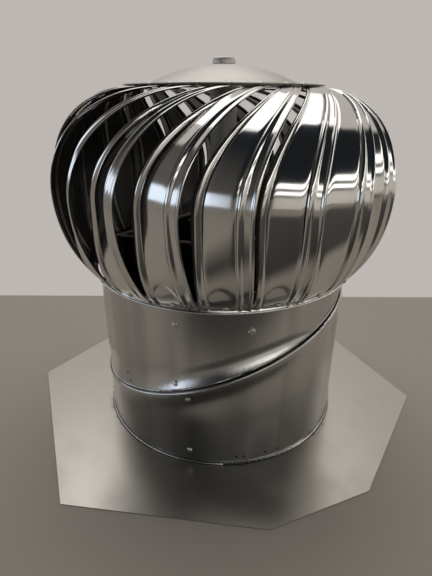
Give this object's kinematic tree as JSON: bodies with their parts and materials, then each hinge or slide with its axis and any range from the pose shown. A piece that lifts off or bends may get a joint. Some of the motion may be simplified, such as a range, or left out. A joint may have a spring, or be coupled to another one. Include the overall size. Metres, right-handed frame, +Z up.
{
  "type": "turbine roof vent",
  "caption": "Wind-driven turbine roof vent: a bladed globe rotor on a fixed shaft, over a swivelling variable-pitch throat on a roof flashing.",
  "frame": {"origin": "centre of the throat on the underside of the flashing, which rests on Z = 0", "axes": "+Z up along the throat and the rotor's shaft; +X towards the high side of the slanted swivel seam"},
  "size_m": [0.5332, 0.472, 0.431],
  "materials": {
    "bright_sheet": "bright rolled",
    "rolled_sheet": "semi-bright rolled",
    "mill_sheet": "mill finish, smudged",
    "dull_aluminium": "dull",
    "rivet_aluminium": "plain",
    "zinc_steel": "zinc plated",
    "bearing_steel": "ground"
  },
  "bodies": {
    "base": {"flashing": "mill_sheet", "lower_collar": "rolled_sheet", "base_rivets": "rivet_aluminium"},
    "throat": {"upper_collar": "rolled_sheet", "throat_rivets": "rivet_aluminium", "brace_leg_1": "zinc_steel", "brace_leg_2": "zinc_steel", "brace_leg_3": "zinc_steel", "brace_screws": "zinc_steel", "brace_nuts": "zinc_steel", "lower_brace_hub": "zinc_steel", "upper_brace_hub": "zinc_steel", "shaft": "zinc_steel", "shaft_nut": "zinc_steel", "thrust_collar": "zinc_steel", "inner_spacer": "dull_aluminium", "lower_bearing_inner": "bearing_steel", "upper_bearing_inner": "bearing_steel"},
    "rotor": {"lower_bearing_outer": "bearing_steel", "upper_bearing_outer": "bearing_steel", "lower_bearing_balls": "bearing_steel", "upper_bearing_balls": "bearing_steel", "outer_spacer": "dull_aluminium", "bearing_clip": "zinc_steel", "rotor_hub": "dull_aluminium", "hub_cap": "dull_aluminium", "top_plate": "dull_aluminium", "bottom_ring": "bright_sheet", "blade_01": "bright_sheet", "blade_02": "bright_sheet", "blade_03": "bright_sheet", "blade_04": "bright_sheet", "blade_05": "bright_sheet", "blade_06": "bright_sheet", "blade_07": "bright_sheet", "blade_08": "bright_sheet", "blade_09": "bright_sheet", "blade_10": "bright_sheet", "blade_11": "bright_sheet", "blade_12": "bright_sheet", "blade_13": "bright_sheet", "blade_14": "bright_sheet", "blade_15": "bright_sheet", "blade_16": "bright_sheet", "blade_17": "bright_sheet", "blade_18": "bright_sheet", "blade_19": "bright_sheet", "blade_20": "bright_sheet", "tab_rivets": "rivet_aluminium", "foot_rivets": "rivet_aluminium"}
  },
  "joints": [
    {"name": "pitch_swivel", "type": "hinge", "parent": "base", "child": "throat", "pos_m": [0, 0, 0.1191], "axis": [-0.3502, 0, 0.9367], "range_deg": [-180, 180]},
    {"name": "rotor_spin", "type": "hinge", "parent": "throat", "child": "rotor", "pos_m": [0, 0, 0.37], "axis": [0, 0, 1], "continuous": true}
  ]
}
